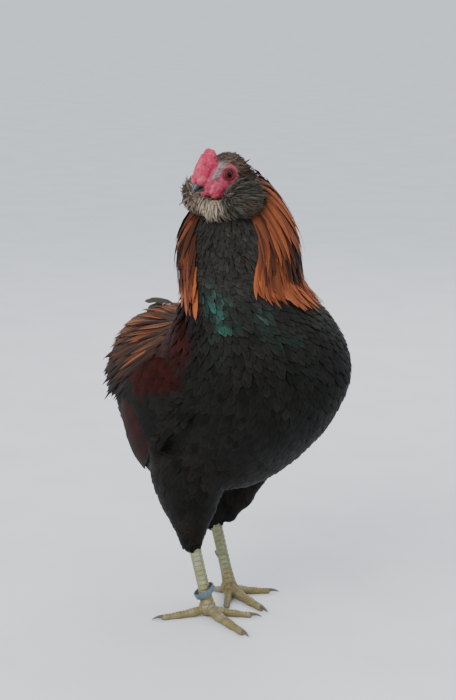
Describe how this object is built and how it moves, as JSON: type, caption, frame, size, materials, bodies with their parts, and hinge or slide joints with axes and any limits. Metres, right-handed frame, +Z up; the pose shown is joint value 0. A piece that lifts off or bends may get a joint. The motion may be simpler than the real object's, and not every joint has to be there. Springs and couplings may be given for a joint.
{
  "type": "araucana chicken",
  "caption": "Still life-size model of a standing rumpless Araucana cock with beard, muffs and pea comb.",
  "frame": {"origin": "on the floor, under the middle of the bird's outline", "axes": "+Z up; -Y the way the body faces; +X the bird's left side"},
  "size_m": [0.2036, 0.288, 0.4856],
  "materials": {
    "plumage_black": "matt black with a green sheen",
    "plumage_saddle": "glossy orange brown",
    "plumage_hackle": "glossy chestnut orange",
    "plumage_head": "soft dark grey",
    "plumage_beard": "soft pale beige grey",
    "plumage_wing": "glossy maroon, black and chestnut",
    "red_skin": "satin, finely folded",
    "beak_horn": "satin slate",
    "eye": "wet gloss",
    "leg_skin": "satin pale willow",
    "foot_skin": "satin olive",
    "claw_horn": "satin dark horn",
    "ring_plastic": "satin blue grey"
  },
  "bodies": {
    "root": {"beak_lower": "beak_horn", "beak_upper": "beak_horn", "beard": "plumage_beard", "claw_left_hind": "claw_horn", "claw_left_inner": "claw_horn", "claw_left_middle": "claw_horn", "claw_left_outer": "claw_horn", "claw_right_hind": "claw_horn", "claw_right_inner": "claw_horn", "claw_right_middle": "claw_horn", "claw_right_outer": "claw_horn", "comb": "red_skin", "eye_left": "eye", "eye_right": "eye", "foot_left": "foot_skin", "foot_right": "foot_skin", "head": "plumage_head", "leg_ring": "ring_plastic", "muff_left": "plumage_head", "muff_right": "plumage_head", "neck": "plumage_hackle", "rump": "plumage_saddle", "shank_left": "leg_skin", "shank_right": "leg_skin", "spur_left": "claw_horn", "spur_right": "claw_horn", "thigh_left": "plumage_black", "thigh_right": "plumage_black", "torso": "plumage_black", "wattle_left": "red_skin", "wattle_right": "red_skin", "wing_left": "plumage_wing", "wing_right": "plumage_wing"}
  },
  "joints": []
}
